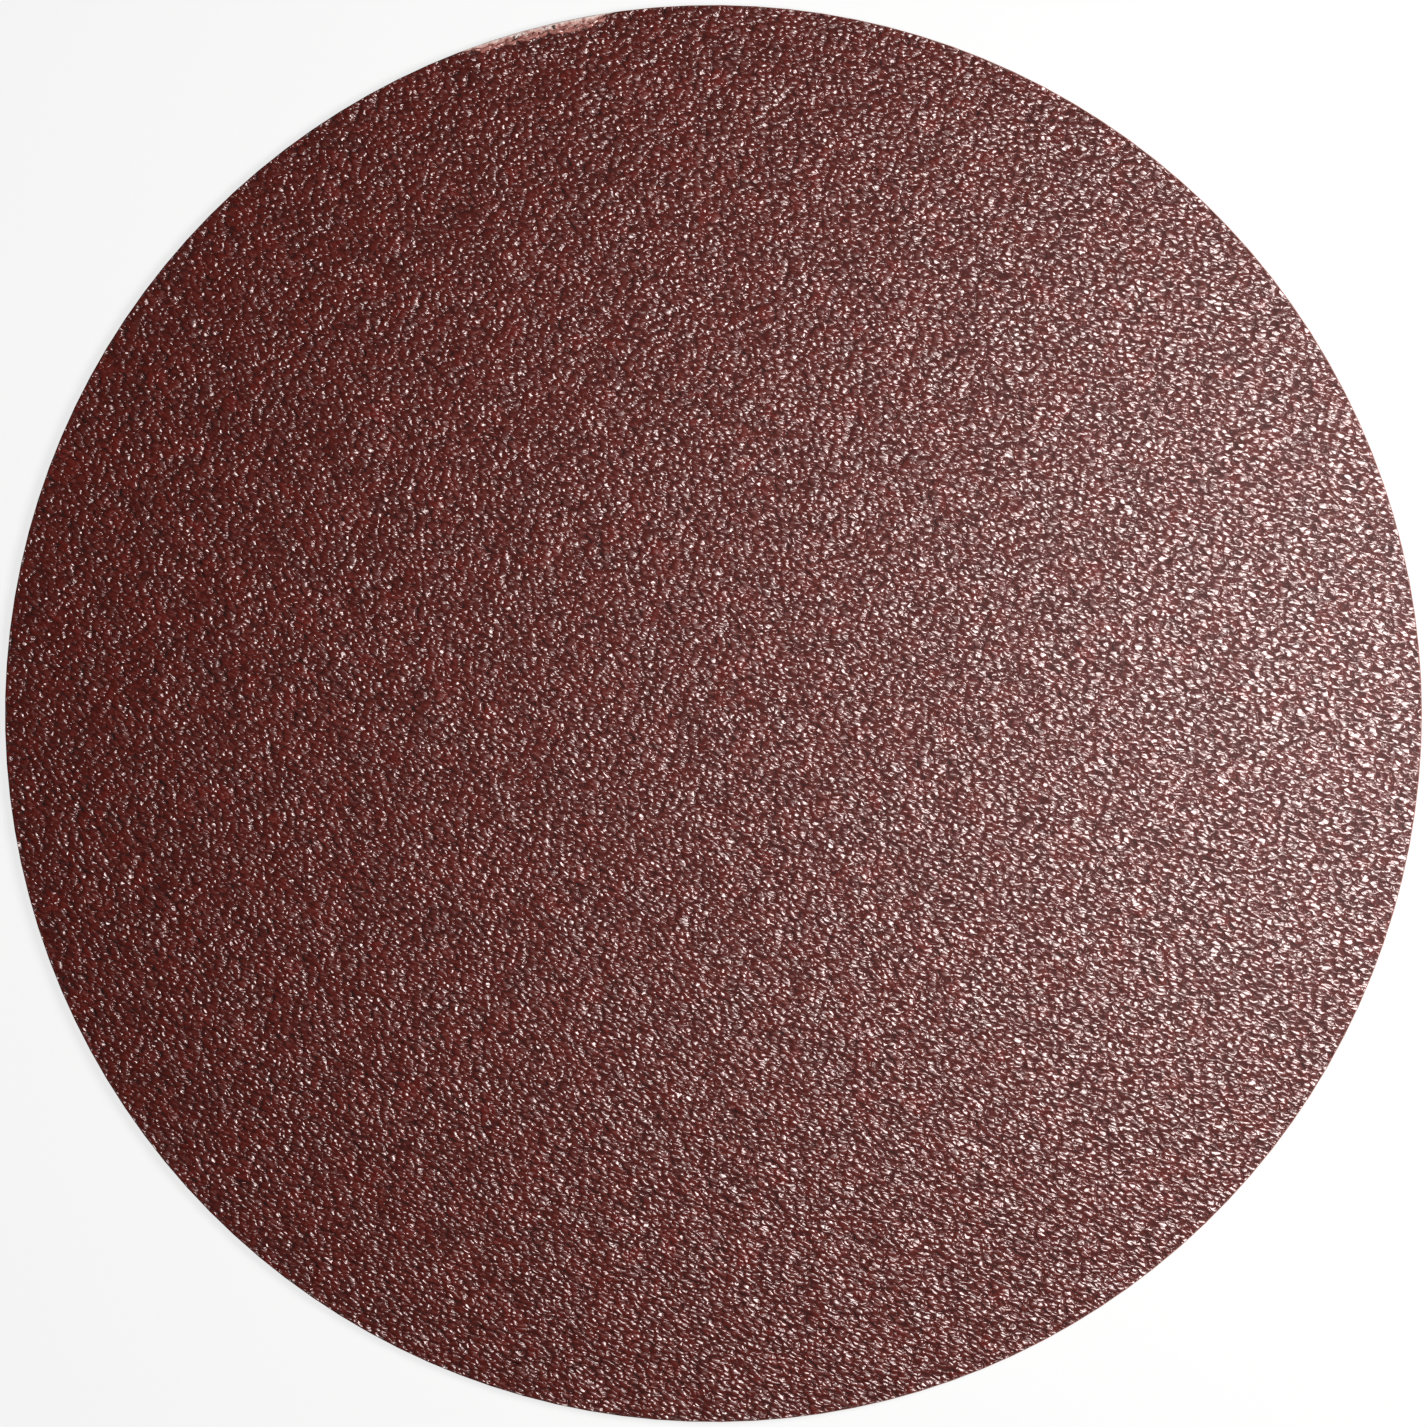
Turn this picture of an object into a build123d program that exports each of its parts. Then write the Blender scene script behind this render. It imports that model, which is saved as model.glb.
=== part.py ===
from build123d import *
import math
import os

# A plain round sanding disc with no centre hole. It lies with its grain up:
# +Z points out of the grain, and the origin is the centre of the back face.
# Lengths are in millimetres. Angles are in degrees from +X towards +Y.

# Sheet of vulcanised fibre, punched to a disc
DISC_DIAMETER = 125.0
BACKING_THICKNESS = 0.84
PUNCH_ROLL = 0.16  # rounding that the punch leaves round the back face

# Grain and the resin that holds it
COAT_THICKNESS = 0.62  # from the fibre to the tips of the grain
COAT_SETBACK = 0.12  # the outermost grain stands this far inside the cut edge
COAT_SHOULDER = 0.22  # rounding of the coat's edge, where the outer grain leans out
GRAIN_PITCH = 0.62  # from one grain to the next

# Broken stretch of the rim, where the coat came off in two scallops that overlap
LONG_SCALLOP_ANGLE = 104.5
LONG_SCALLOP_LENGTH = 15.1
LONG_SCALLOP_DEPTH = 0.46
DEEP_SCALLOP_ANGLE = 101.5
DEEP_SCALLOP_LENGTH = 6.9
DEEP_SCALLOP_DEPTH = 0.64
LOST_GRAIN_BITE = 0.17  # single grains torn out past a scallop bite this much deeper
BITE_TURN = 137.5  # turn from bite to bite, a golden angle, so that no two are alike

# Sizes that follow from the ones above
disc_radius = DISC_DIAMETER / 2
coat_radius = disc_radius - COAT_SETBACK
coat_base = BACKING_THICKNESS
coat_top = BACKING_THICKNESS + COAT_THICKNESS
punch_roll = min(PUNCH_ROLL, BACKING_THICKNESS / 2)
coat_shoulder = min(COAT_SHOULDER, COAT_THICKNESS / 2)
cut_margin = COAT_THICKNESS  # a cutter runs this far past the coat on every side


def quarter_round(centre_x, centre_z, radius, start_angle):
    """A quarter circle in the XZ plane, drawn anticlockwise from start_angle."""
    turns = [math.radians(start_angle + turn) for turn in (0, 45, 90)]
    points = [
        (centre_x + radius * math.cos(turn), 0, centre_z + radius * math.sin(turn))
        for turn in turns
    ]
    return ThreePointArc(*points)


def make_backing():
    """The fibre sheet: flat, with its back edge rolled over by the punch."""
    roll = quarter_round(disc_radius - punch_roll, punch_roll, punch_roll, -90)
    front_edge = (disc_radius, 0, coat_base)
    front_centre = (0, 0, coat_base)
    back_centre = (0, 0, 0)
    section = [roll, Polyline(roll @ 1, front_edge, front_centre, back_centre, roll @ 0)]
    return revolve(make_face(section), Axis.Z)


def plan_point(angle, radius):
    """A point in plan at this angle and this distance from the disc's centre."""
    turn = math.radians(angle)
    return Vector(radius * math.cos(turn), radius * math.sin(turn))


def make_scallop(angle, length, depth):
    """The cutter for one scallop: a bow across the rim, ragged where grains tore out."""
    half_turn = math.degrees(length / 2 / coat_radius)
    steps = 2 * round(length / GRAIN_PITCH)
    ragged = []
    for step in range(1, steps):
        across = 2 * step / steps - 1  # runs from -1 to 1 along the scallop
        bite = LOST_GRAIN_BITE * math.sin(math.radians(step * BITE_TURN)) ** 2
        reach = (depth + bite) * (1 - across**2)
        ragged.append(plan_point(angle + across * half_turn, coat_radius - reach))
    # The straight far side runs between these two points and clears the rim
    far_radius = (coat_radius + cut_margin) / math.cos(math.radians(half_turn))
    far_points = [plan_point(angle + side * half_turn, far_radius) for side in (1, -1)]
    outline = Polyline(*ragged, *far_points, close=True)
    height = COAT_THICKNESS + 2 * cut_margin
    cutter = extrude(make_face(outline), amount=height, dir=(0, 0, 1))
    return Pos(0, 0, coat_base - cut_margin) * cutter


def make_coat():
    """Grain and resin as one layer on the fibre, broken away at one stretch of rim."""
    shoulder = quarter_round(
        coat_radius - coat_shoulder, coat_top - coat_shoulder, coat_shoulder, 0
    )
    top_centre = (0, 0, coat_top)
    base_centre = (0, 0, coat_base)
    base_edge = (coat_radius, 0, coat_base)
    section = [
        shoulder,
        Polyline(shoulder @ 1, top_centre, base_centre, base_edge, shoulder @ 0),
    ]
    coat = revolve(make_face(section), Axis.Z)
    coat -= make_scallop(LONG_SCALLOP_ANGLE, LONG_SCALLOP_LENGTH, LONG_SCALLOP_DEPTH)
    coat -= make_scallop(DEEP_SCALLOP_ANGLE, DEEP_SCALLOP_LENGTH, DEEP_SCALLOP_DEPTH)
    return coat


os.makedirs("parts", exist_ok=True)
export_step(make_backing(), "parts/fibre_backing.step")
export_step(make_coat(), "parts/abrasive_coat.step")
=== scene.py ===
# %% [markdown]
# # Dressing a fibre sanding disc
#
# A fibre sanding disc is a stiff sheet of vulcanised fibre with a coat of coarse grain on its
# front. The sheet and the coat are already modelled as two plain solids. This notebook gives
# them their looks: tens of thousands of crushed grains under a skin of glossy resin, the torn
# stretch at the rim, and the cut edge of the sheet.

# %% Load the measured model
import math

import bmesh
import bpy
import numpy as np
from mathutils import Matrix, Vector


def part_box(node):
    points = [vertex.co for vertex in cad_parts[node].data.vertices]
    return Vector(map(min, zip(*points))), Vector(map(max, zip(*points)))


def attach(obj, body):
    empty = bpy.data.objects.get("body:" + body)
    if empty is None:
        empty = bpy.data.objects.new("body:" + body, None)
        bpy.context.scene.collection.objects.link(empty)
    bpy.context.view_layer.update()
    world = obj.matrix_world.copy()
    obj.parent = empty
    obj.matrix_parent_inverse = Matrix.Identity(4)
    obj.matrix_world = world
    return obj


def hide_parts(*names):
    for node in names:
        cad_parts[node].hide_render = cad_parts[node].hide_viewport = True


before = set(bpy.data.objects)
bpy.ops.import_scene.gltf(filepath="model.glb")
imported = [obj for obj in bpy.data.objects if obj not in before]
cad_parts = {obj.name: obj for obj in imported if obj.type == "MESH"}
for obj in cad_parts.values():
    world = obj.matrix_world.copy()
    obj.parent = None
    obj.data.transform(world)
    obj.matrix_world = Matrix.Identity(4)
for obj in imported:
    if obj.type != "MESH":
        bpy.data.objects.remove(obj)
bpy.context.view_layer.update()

MM = 0.001  # the model is in metres

# %% [markdown]
# ## Sizes that the model gives
#
# Nothing is measured twice. The disc's radius and the levels of the fibre and of the tips of
# the grain come from the solids. So does the rim: the coat's outline is read from its solid as
# a radius for each angle, and the broken stretch comes with it.

# %% Read the sizes and the outline of the coat
backing_low, backing_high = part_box("fibre_backing")
coat_low, coat_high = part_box("abrasive_coat")
disc_radius = (backing_high.x - backing_low.x) / 2
fibre_level = coat_low.z
coat_depth = coat_high.z - coat_low.z

coat_corners = np.array([v.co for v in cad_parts["abrasive_coat"].data.vertices])
corner_radius = np.hypot(coat_corners[:, 0], coat_corners[:, 1])
coat_radius = corner_radius.max()
DEEPEST_BREAK = 2 * MM  # the break is nowhere deeper than this
ROUNDING = 0.001 * MM  # lengths that differ by less are taken as the same
on_outline = coat_corners[:, 2] < fibre_level + ROUNDING
on_outline &= corner_radius > coat_radius - DEEPEST_BREAK
outline_angle = np.arctan2(coat_corners[on_outline, 1], coat_corners[on_outline, 0])
outline_radius = corner_radius[on_outline]


def rim_at(angle):
    """The coat's radius at these angles, read from its solid."""
    order = np.argsort(outline_angle)
    return np.interp(angle, outline_angle[order], outline_radius[order], period=2 * math.pi)


on_wall = corner_radius > coat_radius - ROUNDING
coat_shoulder = coat_high.z - coat_corners[on_wall, 2].max()
print("disc radius, mm:", round(disc_radius / MM, 3))
print("depth of the coat, mm:", round(coat_depth / MM, 3))
print("shoulder of the coat, mm:", round(coat_shoulder / MM, 3))
print("deepest break, mm:", round((coat_radius - outline_radius.min()) / MM, 3))

# %% [markdown]
# ## The camera
#
# The disc is seen squarely from above and nearly fills the frame. A long lens from 0.4 m away
# shows it with little perspective. The lens follows from two widths in the picture: the frame's
# and the disc's.

# %% Place the camera
FRAME_PIXELS = 1427
DISC_PIXELS = 1417
CAMERA_HEIGHT = 0.4
frame_width = 2 * disc_radius * FRAME_PIXELS / DISC_PIXELS

camera_data = bpy.data.cameras.new("portrait_camera")
camera_data.sensor_width = 36
camera_data.lens = camera_data.sensor_width * (CAMERA_HEIGHT - fibre_level) / frame_width
camera = bpy.data.objects.new("portrait_camera", camera_data)
camera.location = (0, 0, CAMERA_HEIGHT)
bpy.context.scene.collection.objects.link(camera)
bpy.context.scene.camera = camera
bpy.context.scene.view_settings.view_transform = "Standard"
print("lens, mm:", round(camera_data.lens, 1))

# %% [markdown]
# ## Shader sums that read like sums
#
# A finish is a small calculation over the surface, and Blender stores it as nodes and wires.
# Written node by node it is long and hard to read. `Wire` wraps one output of a node and takes
# part in sums, so that `1 - mask` adds its own Math node. `Finish` holds one material and makes
# every other node from its type, its settings and its sockets.

# %% Wrap sockets and materials
class Wire:
    """One output of a node, which can be added to, taken from and multiplied."""

    def __init__(self, finish, socket):
        self.finish = finish
        self.socket = socket

    def __add__(self, other):
        return self.finish.sum("ADD", self, other)

    def __sub__(self, other):
        return self.finish.sum("SUBTRACT", self, other)

    def __mul__(self, other):
        return self.finish.sum("MULTIPLY", self, other)

    def __radd__(self, other):
        return self.finish.sum("ADD", other, self)

    def __rsub__(self, other):
        return self.finish.sum("SUBTRACT", other, self)

    def __rmul__(self, other):
        return self.finish.sum("MULTIPLY", other, self)


class Finish:
    """A material, or the world, and the nodes that work it out."""

    def __init__(self, owner):
        owner.use_nodes = True
        self.owner = owner
        self.tree = owner.node_tree
        self.tree.nodes.clear()

    def node(self, kind, settings, sockets, output=0):
        """Adds a node: its settings first, then its sockets, each a value or a wire."""
        node = self.tree.nodes.new(kind)
        for name, value in settings.items():
            if name == "stops":
                self.set_stops(node.color_ramp, value)
            else:
                setattr(node, name, value)
        for name, value in sockets.items():
            if isinstance(value, Wire):
                self.tree.links.new(value.socket, node.inputs[name])
            else:
                node.inputs[name].default_value = value
        return Wire(self, node.outputs[output] if node.outputs else None)

    def set_stops(self, ramp, stops):
        """Gives a colour ramp these stops, each a place from 0 to 1 and a colour."""
        while len(ramp.elements) < len(stops):
            ramp.elements.new(1)
        for element, (place, colour) in zip(ramp.elements, stops):
            element.position = place
            element.color = (*colour, 1)

    def sum(self, operation, first, second):
        """Adds the Math node for one operation on two values."""
        return self.node("ShaderNodeMath", {"operation": operation}, {0: first, 1: second})

    def between(self, value, low, high):
        """Where the value lies from low, 0, to high, 1, held within them."""
        return self.node(
            "ShaderNodeMapRange",
            {"interpolation_type": "SMOOTHSTEP"},
            {"Value": value, "From Min": low, "From Max": high},
        )

    def mix(self, share, first, second):
        """One colour where share is 0 and another where it is 1."""
        return self.node(
            "ShaderNodeMix", {"data_type": "RGBA"}, {0: share, 6: first, 7: second}, output=2
        )

    def noise(self, place, scale, detail=2.0, output=0):
        """Smooth noise about 0.5. Its lumps are about 1 / scale wide, in the unit of place."""
        return self.node(
            "ShaderNodeTexNoise",
            {},
            {"Vector": place, "Scale": scale, "Detail": detail},
            output=output,
        )

    def place(self):
        """The point on the surface, in metres."""
        return self.node("ShaderNodeTexCoord", {}, {}, output="Object")

    def painted(self, name):
        """A number that the mesh carries at each of its points."""
        return self.node("ShaderNodeAttribute", {"attribute_name": name}, {}, output="Fac")


def rgb(red, green, blue):
    """A colour as light, from the numbers 0 to 255 that a screen shows."""
    shown = [channel / 255 for channel in (red, green, blue)]
    return tuple(c / 12.92 if c <= 0.04045 else ((c + 0.055) / 1.055) ** 2.4 for c in shown)


def rgba(red, green, blue):
    """The same colour with its fourth number, as colour sockets hold it."""
    return (*rgb(red, green, blue), 1)


# %% [markdown]
# ## Floor, backdrop and light
#
# The disc lies on a plain pale floor that curves up into a backdrop. What the camera sees of it
# is mostly its own white, so the background stays white under a modest lamp, and the rest is
# lit paint, which keeps the disc's shadow. Glossy resin mirrors a share of that white too. The
# share is small, because the real disc lay in a dim room and the gaps in its grain are dark.

# %% Build the floor as one turned sheet
FLOOR_RADIUS = 1.6
COVE_RADIUS = 0.3
BACKDROP_HEIGHT = 0.4
COVE_STEPS = 12
FLOOR_SIDES = 96
FLOOR_RINGS = (0.25, 0.5, 0.75)  # shares of the flat floor's radius


def add_mesh(name, points, faces, smooth=True):
    """Makes an object from points and faces."""
    mesh = bpy.data.meshes.new(name)
    mesh.from_pydata(points, [], faces)
    if smooth:
        mesh.shade_smooth()
    thing = bpy.data.objects.new(name, mesh)
    bpy.context.scene.collection.objects.link(thing)
    return thing


profile = [(FLOOR_RADIUS * share, 0.0) for share in FLOOR_RINGS]
for step in range(COVE_STEPS + 1):
    turn = math.radians(90 * step / COVE_STEPS)
    out = FLOOR_RADIUS + COVE_RADIUS * math.sin(turn)
    profile.append((out, COVE_RADIUS * (1 - math.cos(turn))))
profile.append((FLOOR_RADIUS + COVE_RADIUS, BACKDROP_HEIGHT))

floor_points = [(0.0, 0.0, 0.0)]
for radius, height in profile:
    for side in range(FLOOR_SIDES):
        turn = 2 * math.pi * side / FLOOR_SIDES
        floor_points.append((radius * math.cos(turn), radius * math.sin(turn), height))
floor_faces = []
for side in range(FLOOR_SIDES):
    after = (side + 1) % FLOOR_SIDES
    floor_faces.append((0, 1 + side, 1 + after))
    for ring in range(len(profile) - 1):
        inner = 1 + ring * FLOOR_SIDES
        outer = inner + FLOOR_SIDES
        floor_faces.append((inner + side, outer + side, outer + after, inner + after))
floor = add_mesh("floor", floor_points, floor_faces)
print("floor faces:", len(floor_faces))

# %% Paint the floor
FLOOR_PAINT = rgba(230, 230, 229)
WHITE = (1, 1, 1, 1)
FLOOR_OWN_WHITE = 0.8  # share of its own white that the camera sees, also through glass
MIRRORED_WHITE = 0.2  # share of its own white that gloss mirrors

floor_finish = Finish(bpy.data.materials.new("pale_floor"))
floor_paint = floor_finish.node("ShaderNodeBsdfDiffuse", {}, {"Color": FLOOR_PAINT}, output="BSDF")
floor_white = floor_finish.node("ShaderNodeEmission", {}, {"Color": WHITE, "Strength": 1.0})
camera_ray = floor_finish.node("ShaderNodeLightPath", {}, {}, output="Is Camera Ray")
glossy_ray = floor_finish.node("ShaderNodeLightPath", {}, {}, output="Is Glossy Ray")
through_ray = floor_finish.node("ShaderNodeLightPath", {}, {}, output="Is Transmission Ray")
own_white = FLOOR_OWN_WHITE * (camera_ray + through_ray) + MIRRORED_WHITE * glossy_ray
floor_mix = floor_finish.node(
    "ShaderNodeMixShader", {}, {0: own_white, 1: floor_paint, 2: floor_white}
)
floor_finish.node("ShaderNodeOutputMaterial", {}, {"Surface": floor_mix})
floor.data.materials.append(floor_finish.owner)

# %% [markdown]
# Glossy grain shows its lamp as glints, and a glint needs a spot that tilts half way between
# the eye and the lamp. One soft lamp stands high on the right. Spots on the right of the disc
# need only a slight tilt to catch it, and spots on the left need a steep one, which few have.
# So the glints thin out from right to left, as they do on the real disc.

# %% Hang the soft lamp and dim the room
LAMP_DISTANCE = 3.4 * disc_radius
LAMP_HEIGHT_ANGLE = math.radians(60)
LAMP_SIDE_ANGLE = math.radians(6)  # from +X towards +Y
LAMP_SIZE = 1.5 * disc_radius
LAMP_LEVEL = 1.25  # how bright a white sheet at the disc's centre looks, where 1 is white
ROOM_LEVEL = 0.015


def level_power(level, distance, height_angle):
    """Power of a small lamp that lights a flat white sheet to this level."""
    return level * math.pi**2 * distance**2 / math.sin(height_angle)


lamp_data = bpy.data.lights.new("soft_lamp", "AREA")
lamp_data.shape = "SQUARE"
lamp_data.size = LAMP_SIZE
lamp_data.energy = level_power(LAMP_LEVEL, LAMP_DISTANCE, LAMP_HEIGHT_ANGLE)
lamp = bpy.data.objects.new("soft_lamp", lamp_data)
lamp_reach = LAMP_DISTANCE * math.cos(LAMP_HEIGHT_ANGLE)
lamp.location.x = lamp_reach * math.cos(LAMP_SIDE_ANGLE)
lamp.location.y = lamp_reach * math.sin(LAMP_SIDE_ANGLE)
lamp.location.z = LAMP_DISTANCE * math.sin(LAMP_HEIGHT_ANGLE)
lamp.rotation_mode = "QUATERNION"
lamp.rotation_quaternion = lamp.location.to_track_quat("Z", "Y")  # it looks at the disc's centre
bpy.context.scene.collection.objects.link(lamp)
print("lamp, W:", round(lamp_data.energy, 2))
print("lamp's place, m:", [round(side, 3) for side in lamp.location])

room = bpy.data.worlds.new("dim_room")
bpy.context.scene.world = room
room_finish = Finish(room)
room_light = room_finish.node(
    "ShaderNodeBackground", {}, {"Color": WHITE, "Strength": ROOM_LEVEL}
)
room_finish.node("ShaderNodeOutputWorld", {}, {"Surface": room_light})

# %% [markdown]
# ## The grain
#
# The coat is crushed mineral, sown closely on wet resin and then covered with a second coat of
# resin. Each grain is a lump with a few flat faces, and the resin rounds its ridges and fills
# the gaps. Scattering real crystals would cost many hidden faces. What shows is one skin over
# all of them, so the skin is what is built: a height for each point of the disc, worked out
# from the grains around that point.
#
# The grains are sown one to a cell of a grid, each moved at random within its cell. That keeps
# them close together with no two alike, and a point has to ask only the nine cells around it.

# %% Sow the grains
CELL_LENGTH = 0.66 * MM  # along x, the way the web ran through the machine
CELL_WIDTH = 0.58 * MM
GRAIN_STRAY = 0.9  # share of its cell that a grain may wander over
LOWEST_GRAIN, HIGHEST_GRAIN = 0.55, 0.95  # shares of the coat's depth
GRAIN_FACES = 5
FACE_STRAY = 0.3  # share of the turn from face to face by which a face may be off
FLATTEST_FACE, STEEPEST_FACE = 0.03, 0.22  # rise over run

rng = np.random.default_rng(40)
half_cells = math.ceil(disc_radius / CELL_WIDTH) + 2
cells = 2 * half_cells
sown = cells * cells
cell_row, cell_column = np.divmod(np.arange(sown), cells)
grain_x = (cell_column + 0.5 + GRAIN_STRAY * (rng.random(sown) - 0.5) - half_cells) * CELL_LENGTH
grain_y = (cell_row + 0.5 + GRAIN_STRAY * (rng.random(sown) - 0.5) - half_cells) * CELL_WIDTH
grain_top = coat_depth * rng.uniform(LOWEST_GRAIN, HIGHEST_GRAIN, sown)
grain_tone = rng.random(sown)
first_face = rng.uniform(0, 2 * math.pi, sown)
face_turn = [
    first_face + 2 * math.pi * (face + rng.uniform(-FACE_STRAY, FACE_STRAY, sown)) / GRAIN_FACES
    for face in range(GRAIN_FACES)
]
face_slope = [rng.uniform(FLATTEST_FACE, STEEPEST_FACE, sown) for face in range(GRAIN_FACES)]
disc_area = math.pi * disc_radius**2
print("grains on the disc, about:", round(disc_area / (CELL_LENGTH * CELL_WIDTH)))

# %% Settle the resin over the grains
RESIN_LEVEL = 0.3 * coat_depth  # the gaps are filled at least to this level
RIDGE_ROUND = 0.022 * MM  # resin rounds ridges between faces about this much
GAP_ROUND = 0.02 * MM  # and the gaps between grains this much


def settle(x, y):
    """Height of the skin above the fibre, its rise along x and y, and the grain that shows."""
    row = np.floor(y / CELL_WIDTH).astype(int) + half_cells
    column = np.floor(x / CELL_LENGTH).astype(int) + half_cells
    skin = np.full(x.shape, RESIN_LEVEL)
    rise = np.zeros((2, *x.shape))
    highest = np.full(x.shape, -1.0)
    owner = np.zeros(x.shape, int)
    for step_row in (-1, 0, 1):
        for step_column in (-1, 0, 1):
            grain = (row + step_row) * cells + column + step_column
            away_x = x - grain_x[grain]
            away_y = y - grain_y[grain]
            drop = np.zeros(x.shape)
            steep = np.zeros((2, *x.shape))
            for turn, slope in zip(face_turn, face_slope):
                fall = slope[grain] * np.stack([np.cos(turn[grain]), np.sin(turn[grain])])
                face = away_x * fall[0] + away_y * fall[1]
                rounded = RIDGE_ROUND * np.logaddexp(drop / RIDGE_ROUND, face / RIDGE_ROUND)
                share = np.exp((face - rounded) / RIDGE_ROUND)
                steep += share * (fall - steep)
                drop = rounded
            height = grain_top[grain] - drop
            covered = GAP_ROUND * np.logaddexp(skin / GAP_ROUND, height / GAP_ROUND)
            share = np.exp((height - covered) / GAP_ROUND)
            rise -= share * (steep + rise)
            skin = covered
            taller = height > highest
            owner[taller] = grain[taller]
            highest = np.maximum(highest, height)
    return skin, rise, owner


# %% [markdown]
# ## The skin's mesh
#
# The points of the skin lie on rings, and ring k has 6k points. The distance between
# neighbours is then nearly the same all over the disc, and the rim is a clean circle. It also
# cuts the disc into six like wedges, which keeps each piece light enough to handle. Each wedge
# is closed with walls and a floor of its own, so that it is a solid slice of the coat. Beside
# the break the grains lost their tips as well, so the skin falls towards it.

# %% Lay out the rings
RINGS = 384
WEDGES = 6
SQUEEZE_WIDTH = 2.5 * MM  # the break squeezes the rings over this width
POINT_STRAY = 0.3  # share of the way to the next point by which a point may be off

rings = np.arange(1, RINGS + 1)
ring_number = np.concatenate([[0], np.repeat(rings, WEDGES * rings)])
ring_first = np.concatenate([[0], 1 + WEDGES // 2 * (rings - 1) * rings])
in_ring = np.arange(len(ring_number)) - ring_first[ring_number]
point_angle = 2 * math.pi * in_ring / np.maximum(WEDGES * ring_number, 1)
ring_gap = coat_radius / RINGS
point_radius = ring_number * ring_gap
break_depth = coat_radius - rim_at(point_angle)
near_rim = np.clip(1 - (coat_radius - point_radius) / SQUEEZE_WIDTH, 0, 1)
point_radius = point_radius - break_depth * near_rim
inside = (ring_number > 0) & (ring_number < RINGS)
out_stray = rng.uniform(-POINT_STRAY, POINT_STRAY, len(ring_number))
point_radius = point_radius + inside * out_stray * ring_gap
off_border = in_ring % np.maximum(ring_number, 1) != 0
turn_stray = rng.uniform(-POINT_STRAY, POINT_STRAY, len(ring_number))
point_angle = point_angle + off_border * inside * turn_stray / np.maximum(ring_number, 1)
skin_x = point_radius * np.cos(point_angle)
skin_y = point_radius * np.sin(point_angle)
skin_height, skin_rise, skin_grain = settle(skin_x, skin_y)
lean = np.clip(1 - (coat_radius - point_radius) / coat_shoulder, 0, 1)
skin_height *= 1 - coat_shoulder / coat_depth * (1 - np.sqrt(1 - lean**2))

# %% Crumble the grain beside the break
CRUMBLE_WIDTH = 0.6 * MM
CRUMBLE_DEPTH = 0.3 * MM  # where the rim is broken this deep, the grain beside it crumbled too
LEAST_CRUMBLED, MOST_CRUMBLED = 0.4, 0.9  # shares of its height that a grain at the break lost
EVENED = 0.25  # share of the skin's slope that its shading keeps, for its finish adds the rest

skin_rim = rim_at(point_angle)
skin_broken = np.clip((coat_radius - skin_rim) / CRUMBLE_DEPTH, 0, 1)
skin_broken *= np.clip(1 - (skin_rim - point_radius) / CRUMBLE_WIDTH, 0, 1)
crumbled_share = LEAST_CRUMBLED + (MOST_CRUMBLED - LEAST_CRUMBLED) * grain_tone[skin_grain]
skin_height *= 1 - skin_broken * crumbled_share
skin_normal = np.column_stack([*(-EVENED * skin_rise), np.ones(len(skin_x))])
skin_normal /= np.linalg.norm(skin_normal, axis=1)[:, None]
skin_slope = np.degrees(np.arctan(np.hypot(*skin_rise)))
print("points of the skin:", len(skin_x))
print("usual slope of the skin, degrees:", np.median(skin_slope).round(1))
print("usual height of the skin, mm:", np.median(skin_height / MM).round(3))

# %% [markdown]
# The coat ends in a wall of grain at the rim. A straight wall would look sawn, so a few rows of
# points run down it, and each point is bitten in by a random amount. Neighbours share half of
# their bite, because a grain is wider than one step along the rim.

# %% Roughen the wall at the rim
RIM_ROWS = 4
RIM_BITE = 0.12 * MM
rim_count = WEDGES * RINGS
rim_ring = ring_first[RINGS] + np.arange(rim_count)
rim_rows = []
for row in range(1, RIM_ROWS + 1):
    bite = rng.uniform(0, RIM_BITE, rim_count)
    bite = (bite + np.roll(bite, 1)) / 2
    row_radius = point_radius[rim_ring] - bite
    row_height = skin_height[rim_ring] * (1 - row / RIM_ROWS)
    rim_rows.append(
        np.column_stack(
            [
                row_radius * np.cos(point_angle[rim_ring]),
                row_radius * np.sin(point_angle[rim_ring]),
                fibre_level + row_height,
            ]
        )
    )
rim_points = np.stack(rim_rows)
print("points on the wall:", rim_points.shape[0] * rim_points.shape[1])

# %% Share the skin out among the wedges
skin_points = np.column_stack([skin_x, skin_y, fibre_level + skin_height])
skin_tone = grain_tone[skin_grain]
gap_level, tip_level = np.percentile(skin_height, [2, 98])  # nearly the lowest and the highest
skin_share = np.clip((skin_height - gap_level) / (tip_level - gap_level), 0, 1)

row_of = np.concatenate([np.full(k + 1, k) for k in range(RINGS + 1)])
along = np.arange(len(row_of)) - (row_of * (row_of + 1)) // 2
skin_count = len(row_of)


def on_skin(k, j):
    """Number of the point j on ring k, counted within a wedge."""
    return k * (k + 1) // 2 + j


def on_rim(row, j):
    """Number of the point j on a row of the wall. Row 0 is the skin's last ring."""
    return on_skin(RINGS, j) if row == 0 else skin_count + (row - 1) * (RINGS + 1) + j


# %% Build one wedge
def skin_faces():
    """Triangles between each ring and the next one in."""
    k, j = row_of[row_of > 0], along[row_of > 0]
    outward = j < k
    inward = outward & (j > 0)
    return np.concatenate(
        [
            np.column_stack([on_skin(k, j), on_skin(k, j + 1), on_skin(k - 1, j)])[outward],
            np.column_stack([on_skin(k - 1, j - 1), on_skin(k, j), on_skin(k - 1, j)])[inward],
        ]
    )


def wall_faces():
    """Triangles between each row of the wall and the next one down."""
    j = np.arange(RINGS)
    faces = []
    for row in range(RIM_ROWS):
        upper, upper_next = on_rim(row, j), on_rim(row, j + 1)
        lower, lower_next = on_rim(row + 1, j), on_rim(row + 1, j + 1)
        faces.append(np.column_stack([upper, lower, lower_next]))
        faces.append(np.column_stack([upper, lower_next, upper_next]))
    return np.concatenate(faces)


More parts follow.
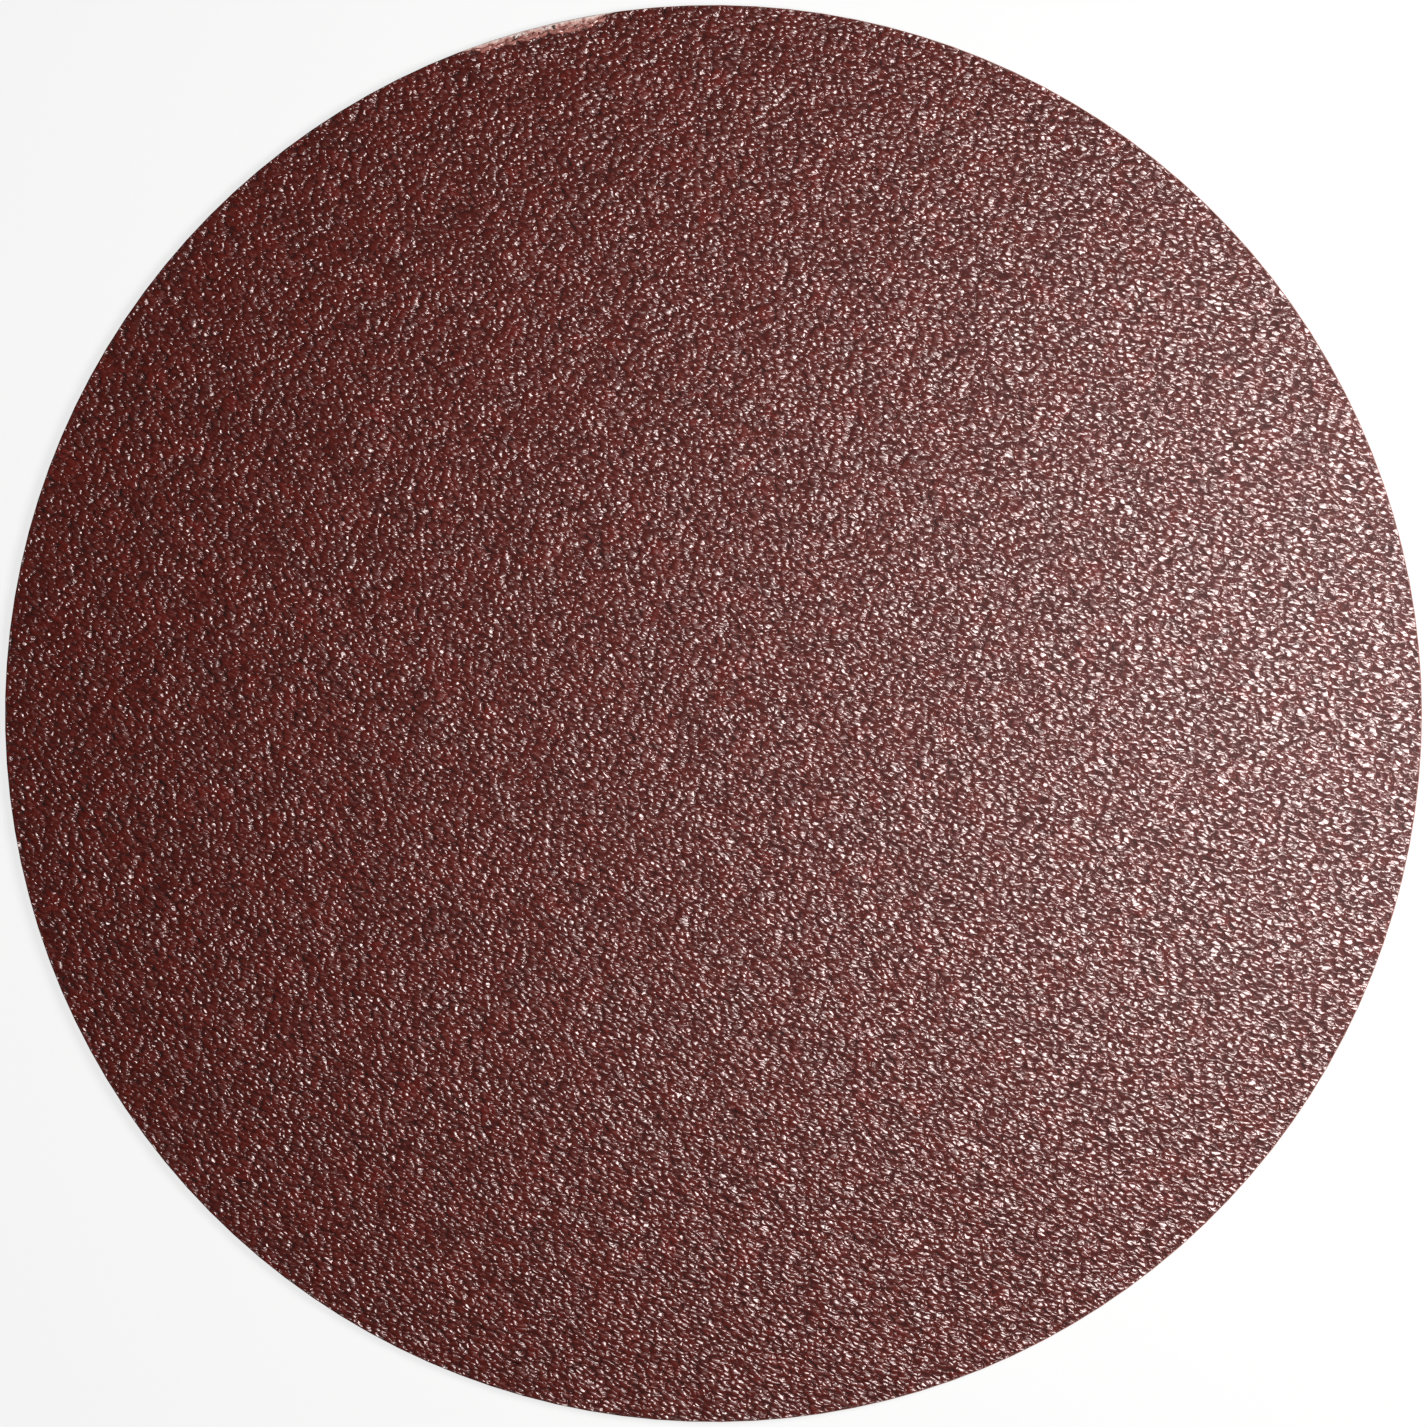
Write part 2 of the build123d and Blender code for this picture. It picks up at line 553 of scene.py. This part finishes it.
def make_wedge(number):
    """One sixth of the coat as a closed solid: skin, wall, two cut sides and a floor."""
    skin = ring_first[row_of] + (number * row_of + along) % np.maximum(WEDGES * row_of, 1)
    rim = (number * RINGS + np.arange(RINGS + 1)) % rim_count
    first_side = [on_skin(k, 0) for k in range(RINGS)]
    second_side = [on_skin(k, k) for k in range(RINGS)]
    points = np.concatenate([skin_points[skin], rim_points[:, rim].reshape(-1, 3)])
    base = len(points)
    floor_points = points[first_side + second_side[1:]]
    floor_points[:, 2] = fibre_level
    first_base = [base + k for k in range(RINGS)]
    second_base = [base] + [base + RINGS + k - 1 for k in range(1, RINGS)]
    faces = np.concatenate([skin_faces(), wall_faces()]).tolist()
    for k in range(1, RINGS):
        faces.append([first_side[k - 1], first_base[k - 1], first_base[k], first_side[k]])
        faces.append([second_side[k - 1], second_side[k], second_base[k], second_base[k - 1]])
    first_corner = [on_rim(row, 0) for row in range(RIM_ROWS, -1, -1)]
    second_corner = [on_rim(row, RINGS) for row in range(RIM_ROWS + 1)]
    faces.append([first_side[-1], first_base[-1], *first_corner])
    faces.append([second_base[-1], second_side[-1], *second_corner])
    bottom_arc = [on_rim(RIM_ROWS, j) for j in range(RINGS + 1)]
    faces.append((first_base + bottom_arc + second_base[:0:-1])[::-1])
    wedge = add_mesh(f"grain_wedge_{number + 1}", np.concatenate([points, floor_points]), faces)
    paint_wedge(wedge.data, skin, rim, first_side + second_side[1:])
    return wedge


# %% [markdown]
# Each wedge carries what its finish needs. The shade of the grain, the height of the skin and
# how far it is broken are numbers at its points. Its shading normals come from the slope of the
# skin itself, and not from the wedge's own faces, so the seams between wedges don't show. The
# flat map from above is for the export, which bakes the finish into pictures.

# %% Give a wedge its normals, shades and map
def paint_wedge(mesh, skin, rim, sides):
    """Adds the shades, the shading normals and the map that goes with the export."""
    own = np.concatenate([skin, np.tile(rim_ring[rim], RIM_ROWS), skin[sides]])
    down_wall = np.repeat(np.arange(1, RIM_ROWS + 1), RINGS + 1) / RIM_ROWS
    deep = np.concatenate([np.zeros(len(skin)), down_wall, np.ones(len(sides))])
    shades = {
        "tone": skin_tone[own],
        # the height darkens low places of the coat as painted shade; it falls to 0 down the wall
        # and on the floor
        "height": skin_share[own] * (1 - deep),
        "broken": skin_broken[own],
    }
    for name, values in shades.items():
        mesh.attributes.new(name, "FLOAT", "POINT").data.foreach_set("value", values)

    corner_point = np.empty(len(mesh.loops), np.int32)
    mesh.loops.foreach_get("vertex_index", corner_point)
    face_normal = np.empty(len(mesh.polygons) * 3, np.float32)
    mesh.polygon_normals.foreach_get("vector", face_normal)
    corners = np.empty(len(mesh.polygons), np.int32)
    mesh.polygons.foreach_get("loop_total", corners)
    normal = np.repeat(face_normal.reshape(-1, 3), corners, axis=0)
    skin_corners = 3 * len(skin_faces())
    normal[:skin_corners] = skin_normal[skin][corner_point[:skin_corners]]
    mesh.normals_split_custom_set(normal)

    spot = np.empty(len(mesh.vertices) * 3, np.float32)
    mesh.vertices.foreach_get("co", spot)
    flat = spot.reshape(-1, 3)[:, :2]
    flat = (flat - flat.min(axis=0)) / np.ptp(flat, axis=0).max()
    mesh.uv_layers.new(name="OFBake").uv.foreach_set("vector", flat[corner_point].ravel())


# %% Cut the skin into six wedges
wedges = [make_wedge(number) for number in range(WEDGES)]
for wedge in wedges:
    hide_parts("abrasive_coat")
    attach(wedge, "root")
print("faces in a wedge:", [len(wedge.data.polygons) for wedge in wedges])

# %% [markdown]
# ## The broken stretch of rim
#
# At one stretch of rim the grain broke off and took the face of the fibre with it. What shows
# is a sliver of torn fibre, paler than the rest, and a few crumbs of grain that stayed stuck.
# The sliver could be painted on the sheet, but torn fibre stands up in a fuzz and catches the
# light, so it is a thin piece of its own. It fills the gap between the coat's broken outline
# and the cut edge.

# %% Lay the torn fibre
SHALLOWEST_BREAK = 0.05 * MM
TORN_STEP = 0.1 * MM
TORN_ROWS = 8
TORN_HEIGHT = 0.09 * MM
LOWEST_FUZZ = 0.15  # share of that height that the lowest fuzz reaches
FUZZ_FALL = 0.8  # share of its height that the fuzz loses towards the cut edge
TORN_EDGE = 0.03 * MM  # the torn face stops this far inside the cut edge
broken = coat_radius - outline_radius > SHALLOWEST_BREAK
torn_start, torn_end = outline_angle[broken].min(), outline_angle[broken].max()
torn_steps = round((torn_end - torn_start) * disc_radius / TORN_STEP)
torn_angle = np.linspace(torn_start, torn_end, torn_steps)
across = np.linspace(0, 1, TORN_ROWS)[:, None]
torn_inner = rim_at(torn_angle)
torn_outer = disc_radius - TORN_EDGE
torn_radius = torn_inner + (torn_outer - torn_inner) * across
torn_height = rng.uniform(LOWEST_FUZZ, 1, torn_radius.shape) * TORN_HEIGHT
torn_height *= 1 - FUZZ_FALL * across**2
torn_top = np.stack(
    [
        torn_radius * np.cos(torn_angle),
        torn_radius * np.sin(torn_angle),
        fibre_level + torn_height,
    ],
    axis=2,
)
torn_base = torn_top.copy()
torn_base[:, :, 2] = fibre_level
torn_points = np.concatenate([torn_top.reshape(-1, 3), torn_base.reshape(-1, 3)])
to_base = TORN_ROWS * torn_steps  # from the number of a point on top to the one below it


def torn_spot(row, column):
    """Number of a point on top of the torn piece."""
    return row * torn_steps + column


torn_faces = []
for row in range(TORN_ROWS - 1):
    for column in range(torn_steps - 1):
        top = [torn_spot(row, column), torn_spot(row + 1, column)]
        top += [torn_spot(row + 1, column + 1), torn_spot(row, column + 1)]
        torn_faces.append(top[::-1])
        torn_faces.append([spot + to_base for spot in top])
edge_loop = [torn_spot(0, column) for column in range(torn_steps)]
edge_loop += [torn_spot(row, torn_steps - 1) for row in range(1, TORN_ROWS)]
edge_loop += [torn_spot(TORN_ROWS - 1, column) for column in range(torn_steps - 2, -1, -1)]
edge_loop += [torn_spot(row, 0) for row in range(TORN_ROWS - 2, 0, -1)]
for here, after in zip(edge_loop, edge_loop[1:] + edge_loop[:1]):
    torn_faces.append([here + to_base, after + to_base, after, here])
torn_fibre = add_mesh("torn_fibre", torn_points, torn_faces)
torn_across = np.tile(np.repeat(across.ravel(), torn_steps), 2)
torn_fibre.data.attributes.new("across", "FLOAT", "POINT").data.foreach_set("value", torn_across)
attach(torn_fibre, "root")
print("torn stretch, degrees:", np.degrees([torn_start, torn_end]).round(1))

# %% [markdown]
# The crumbs are splinters of single grains. Each is a ball of a few faces, dented and flattened
# at random, that sits in the torn fibre.

# %% Leave a few crumbs of grain
CRUMB_GROUPS = (  # angle in degrees, stretch in mm, crumbs, shade, shares of the way to the edge
    (105.9, 1.3, 7, 1.0, 0.35, 0.75),
    (103.8, 0.8, 5, 1.0, 0.35, 0.75),
    (103.1, 0.3, 4, 0.0, 0.35, 0.75),
    (106.5, 0.3, 3, 0.0, 0.35, 0.75),
    (101.8, 2.6, 5, 0.6, 0.35, 0.75),
    (104.3, 11.0, 34, 0.3, -0.1, 0.4),
)
CRUMB_SIZE = 0.17 * MM
DEEPEST_DENT = 0.5  # a corner of a crumb may lie this far in, as a share of its radius
SMALLEST_CRUMB = (0.8, 0.6, 0.3)  # length, width and height, as shares of CRUMB_SIZE
LARGEST_CRUMB = (1.3, 1.0, 0.5)
CRUMB_SHADE_STRAY = 0.15
crumb_points, crumb_faces, crumb_tone = [], [], []
for middle, stretch, count, shade_of_group, nearest, farthest in CRUMB_GROUPS:
    for crumb in range(count):
        ball = bmesh.new()
        bmesh.ops.create_icosphere(ball, subdivisions=1, radius=CRUMB_SIZE)
        spots = np.array([vertex.co for vertex in ball.verts])
        sides = [[vertex.index for vertex in face.verts] for face in ball.faces]
        ball.free()
        dent = rng.uniform(DEEPEST_DENT, 1.0, (len(spots), 1))
        spots *= dent * rng.uniform(SMALLEST_CRUMB, LARGEST_CRUMB)
        turn = math.radians(middle) + rng.uniform(-0.5, 0.5) * stretch * MM / disc_radius
        free = disc_radius - rim_at(turn)
        reach = rim_at(turn) + rng.uniform(nearest, farthest) * free
        reach = min(reach, disc_radius - LARGEST_CRUMB[0] * CRUMB_SIZE)
        spots += (reach * math.cos(turn), reach * math.sin(turn), fibre_level + TORN_HEIGHT / 2)
        crumb_faces += [[number + len(crumb_tone) for number in side] for side in sides]
        crumb_points += spots.tolist()
        own_shade = shade_of_group + rng.uniform(-CRUMB_SHADE_STRAY, CRUMB_SHADE_STRAY)
        crumb_tone += [own_shade] * len(spots)
crumbs = add_mesh("stuck_crumbs", crumb_points, crumb_faces, smooth=False)
crumbs.data.attributes.new("tone", "FLOAT", "POINT").data.foreach_set("value", crumb_tone)
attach(crumbs, "root")
print("crumbs:", sum(group[2] for group in CRUMB_GROUPS))

# %% [markdown]
# ## Resin over the grain
#
# The skin is one glossy resin, stained brown-red. It stands over each grain as a small dome,
# and narrow valleys run between the domes. A dome shows the lamp as one small glint, at its top
# where the disc needs little tilt and low on its side where it needs much. Shallow domes never
# tilt that far, so the domes are given many steepnesses, and they are drawn out a little along
# the way the web ran through the machine. A Voronoi texture has one cell for each dome, and its
# distance from the cell's centre, squared, is the dome's shape. Its cells are all about as
# large, like pebbles, so the points are first shifted by a noise that swells some cells and
# pinches others. Slow waves in the coat tilt whole groups of domes, so the glints gather in
# loose clouds.

# %% Raise the domes
coat_finish = Finish(bpy.data.materials.new("resin_over_grain"))
DOME_LENGTH, DOME_WIDTH = 0.64 * MM, 0.38 * MM
WEB_TURN = math.radians(-20)
DOME_SMOOTHING = 0.15  # how far the resin rounds the valley between two domes
SHALLOW_DOME, STEEP_DOME = 0.15, 0.62  # drop from the top to a dome's length away, in lengths
SWELL_SIZE = 1.0  # in domes, how far apart shallow and steep ones lie
SWELL_SPREAD = (0.3, 0.7)  # the noise from here to there makes shallow domes to steep ones
STRAY_SIZE, STRAY = 1.0, 0.85  # in domes, the noise that shifts them and how far it does
RIPPLE_SIZE, RIPPLE_SHARE = 0.5, 0.02  # in domes and in lengths, what makes their edges uneven
SWAY_SIZE, SWAY_SHARE = 7.0, 0.5  # in domes and in lengths, the slow waves of the coat

web = coat_finish.node(
    "ShaderNodeMapping",
    {"vector_type": "TEXTURE"},
    {
        "Vector": coat_finish.place(),
        "Rotation": (0, 0, WEB_TURN),
        "Scale": (DOME_LENGTH, DOME_WIDTH, 1.0),
    },
)
stray_noise = coat_finish.noise(web, 1 / STRAY_SIZE, detail=0.0, output="Color")
strayed = coat_finish.node(
    "ShaderNodeVectorMath",
    {"operation": "MULTIPLY_ADD"},
    {0: stray_noise, 1: (STRAY, STRAY, 0), 2: web},
)
from_top = coat_finish.node(
    "ShaderNodeTexVoronoi",
    {"voronoi_dimensions": "2D", "feature": "SMOOTH_F1"},
    {"Vector": strayed, "Scale": 1.0, "Smoothness": DOME_SMOOTHING, "Randomness": 1.0},
)
swell_noise = coat_finish.noise(strayed, 1 / SWELL_SIZE, detail=1.0)
swell = coat_finish.between(swell_noise, *SWELL_SPREAD)
steepness = SHALLOW_DOME + (STEEP_DOME - SHALLOW_DOME) * swell
ripple = RIPPLE_SHARE * coat_finish.noise(strayed, 1 / RIPPLE_SIZE)
sway = SWAY_SHARE * coat_finish.noise(web, 1 / SWAY_SIZE, detail=1.0)
domed = coat_finish.node(
    "ShaderNodeBump",
    {},
    {
        "Strength": 1.0,
        "Distance": DOME_LENGTH,
        "Height": ripple + sway - steepness * from_top * from_top,
    },
)

# %% [markdown]
# Grains show through the resin in slightly different shades, and a few are redder. The valleys
# and the low places are painted a little darker, as painted shade, and the resin there is a
# little duller. The last thin coat of resin lies over all and gives a faint sheen. Beside the
# break the resin is bruised: chips of it are pale and dull.

# %% Stain the resin, and paint shade into its valleys and low places
VALLEY_SPREAD = (0.25, 0.6)  # in domes, from the foot of a dome to the bottom of its valley
CHIP_SIZE = 0.35 * MM
CHIP_SPREAD = (0.95, 1.15)  # noise and broken share together, from whole resin to a chip
# painted shade: the darker colour that the valleys and low places take
VALLEY_SHADE_COLOUR = rgba(76, 16, 8)
CHIP_COLOUR = rgba(178, 114, 104)

tone = coat_finish.painted("tone")
height = coat_finish.painted("height")
shade_stops = [
    (0.0, rgb(80, 17, 8)),
    (0.5, rgb(89, 19, 9)),
    (0.93, rgb(96, 21, 10)),
    (1.0, rgb(103, 21, 11)),
]
shade = coat_finish.node("ShaderNodeValToRGB", {"stops": shade_stops}, {"Fac": tone})
# Painted shade: low points, and then the valleys between domes, are darkened towards that colour.
painted_low_shade = coat_finish.mix(height, VALLEY_SHADE_COLOUR, shade)
valley = coat_finish.between(from_top, *VALLEY_SPREAD)
valley_shaded = coat_finish.mix(valley, shade, painted_low_shade)
chip_spot = coat_finish.noise(coat_finish.place(), 1 / CHIP_SIZE)
chip = coat_finish.between(coat_finish.painted("broken") + chip_spot, *CHIP_SPREAD)
bruised = coat_finish.mix(chip, valley_shaded, CHIP_COLOUR)
coat_shader = coat_finish.node(
    "ShaderNodeBsdfPrincipled",
    {},
    {
        "Base Color": bruised,
        "Roughness": 0.3 + 0.02 * valley,
        "IOR": 1.9,
        "Specular Tint": (1.0, 0.89, 0.87, 1.0),
        "Coat Weight": 0.22,
        "Coat Roughness": 0.45,
        "Coat IOR": 1.45,
        "Normal": domed,
    },
)
coat_finish.node("ShaderNodeOutputMaterial", {}, {"Surface": coat_shader})
for wedge in wedges:
    wedge.data.materials.append(coat_finish.owner)

# %% [markdown]
# ## Vulcanised fibre
#
# The sheet is paper that was made into a horn-like board. It keeps its modelled solid. The back
# was pressed between rollers: it is dark, clouded and faintly ribbed along the web. The punch
# left the cut edge paler and ragged, so the colour there comes from the distance to the disc's
# axis, broken up by noise that is drawn out through the sheet's thickness.

# %% Stain the fibre
CLOUD_SIZE = 5 * MM
FLECK_SIZE = 0.6 * MM
FLECK_SPREAD = (0.62, 0.75)  # the noise from here to there fades a fleck in
RIB_SIZE = 0.35 * MM
RIB_DRAW = 0.1  # the ribs are ten times as long as they are wide
RIB_HEIGHT = 0.012 * MM
PALE_EDGE = 0.25 * MM  # width of the paler rim
STREAK_SIZE = 0.3 * MM
PRESSED_DARK, PRESSED_LIGHT = rgba(84, 38, 28), rgba(112, 56, 42)
CUT_DARK, CUT_LIGHT = rgba(120, 62, 50), rgba(176, 112, 96)
FLECK_COLOUR = rgba(146, 88, 70)

fibre_finish = Finish(bpy.data.materials.new("vulcanised_fibre"))
fibre_place = fibre_finish.place()
fibre_cloud = fibre_finish.noise(fibre_place, 1 / CLOUD_SIZE, detail=4.0)
fibre_grit = fibre_finish.noise(fibre_place, 1 / FLECK_SIZE, detail=3.0)
fibre_fleck = fibre_finish.between(fibre_grit, *FLECK_SPREAD)
pressed = fibre_finish.mix(fibre_cloud, PRESSED_DARK, PRESSED_LIGHT)
flecked = fibre_finish.mix(0.5 * fibre_fleck, pressed, FLECK_COLOUR)

flat_place = fibre_finish.node(
    "ShaderNodeVectorMath", {"operation": "MULTIPLY"}, {0: fibre_place, 1: (1, 1, 0)}
)
from_axis = fibre_finish.node(
    "ShaderNodeVectorMath", {"operation": "LENGTH"}, {0: flat_place}, output="Value"
)
streak = fibre_finish.noise(flat_place, 1 / STREAK_SIZE)
cut_start = disc_radius - 0.5 * PALE_EDGE
cut = fibre_finish.between(from_axis + PALE_EDGE * streak, cut_start, disc_radius)
cut_colour = fibre_finish.mix(streak, CUT_DARK, CUT_LIGHT)
fibre_colour = fibre_finish.mix(cut, flecked, cut_colour)

ribs_place = fibre_finish.node(
    "ShaderNodeVectorMath", {"operation": "MULTIPLY"}, {0: fibre_place, 1: (RIB_DRAW, 1.0, 1.0)}
)
ribs = fibre_finish.node(
    "ShaderNodeBump",
    {},
    {
        "Strength": 1.0,
        "Distance": RIB_HEIGHT,
        "Height": fibre_finish.noise(ribs_place, 1 / RIB_SIZE, detail=3.0),
    },
)
fibre_shader = fibre_finish.node(
    "ShaderNodeBsdfPrincipled",
    {},
    {"Base Color": fibre_colour, "Roughness": 0.42 + 0.25 * cut, "Normal": ribs},
)
fibre_finish.node("ShaderNodeOutputMaterial", {}, {"Surface": fibre_shader})
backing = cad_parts["fibre_backing"]
backing.data.materials.clear()
backing.data.materials.append(fibre_finish.owner)

# %% [markdown]
# ## Torn fibre and crumbs
#
# Torn fibre is the raw board without its dark, polished face: pink, dull and blotched, reddest
# where resin soaked in beside the grain and palest along the cut edge. The crumbs run from near
# black over red-brown to a greyish white, and their shade comes from their points.

# %% Tint the torn fibre
BLOTCH_SIZE = 0.45 * MM
BLOTCH_SPREAD = (0.45, 0.8)  # the noise from here to there turns red fibre pink
PALE_SPREAD = (1.1, 1.5)  # noise and share of the way to the edge together, from pink to pale
FUZZ_SIZE, FUZZ_HEIGHT = 0.15 * MM, 0.05 * MM
TORN_RED, TORN_PINK, TORN_PALE = rgba(138, 74, 66), rgba(216, 170, 160), rgba(232, 214, 206)

torn_finish = Finish(bpy.data.materials.new("torn_fibre"))
torn_place = torn_finish.place()
torn_noise = torn_finish.noise(torn_place, 1 / BLOTCH_SIZE, detail=3.0)
torn_across = torn_finish.painted("across")
torn_blotch = torn_finish.between(torn_noise + 0.3 * torn_across, *BLOTCH_SPREAD)
torn_blotched = torn_finish.mix(torn_blotch, TORN_RED, TORN_PINK)
torn_pale = torn_finish.between(torn_noise + torn_across, *PALE_SPREAD)
torn_colour = torn_finish.mix(torn_pale, torn_blotched, TORN_PALE)
torn_fuzz = torn_finish.noise(torn_place, 1 / FUZZ_SIZE)
torn_normal = torn_finish.node(
    "ShaderNodeBump", {}, {"Strength": 1.0, "Distance": FUZZ_HEIGHT, "Height": torn_fuzz}
)
torn_shader = torn_finish.node(
    "ShaderNodeBsdfPrincipled",
    {},
    {"Base Color": torn_colour, "Roughness": 0.7, "Normal": torn_normal},
)
torn_finish.node("ShaderNodeOutputMaterial", {}, {"Surface": torn_shader})
torn_fibre.data.materials.append(torn_finish.owner)

# %% Shade the crumbs
crumb_finish = Finish(bpy.data.materials.new("grain_crumbs"))
crumb_shade = crumb_finish.node(
    "ShaderNodeValToRGB",
    {
        "stops": [
            (0.0, rgb(44, 46, 34)),
            (0.25, rgb(112, 50, 42)),
            (0.6, rgb(168, 118, 106)),
            (0.95, rgb(222, 214, 208)),
        ]
    },
    {"Fac": crumb_finish.painted("tone")},
)
crumb_shader = crumb_finish.node(
    "ShaderNodeBsdfPrincipled", {}, {"Base Color": crumb_shade, "Roughness": 0.4}
)
crumb_finish.node("ShaderNodeOutputMaterial", {}, {"Surface": crumb_shader})
crumbs.data.materials.append(crumb_finish.owner)
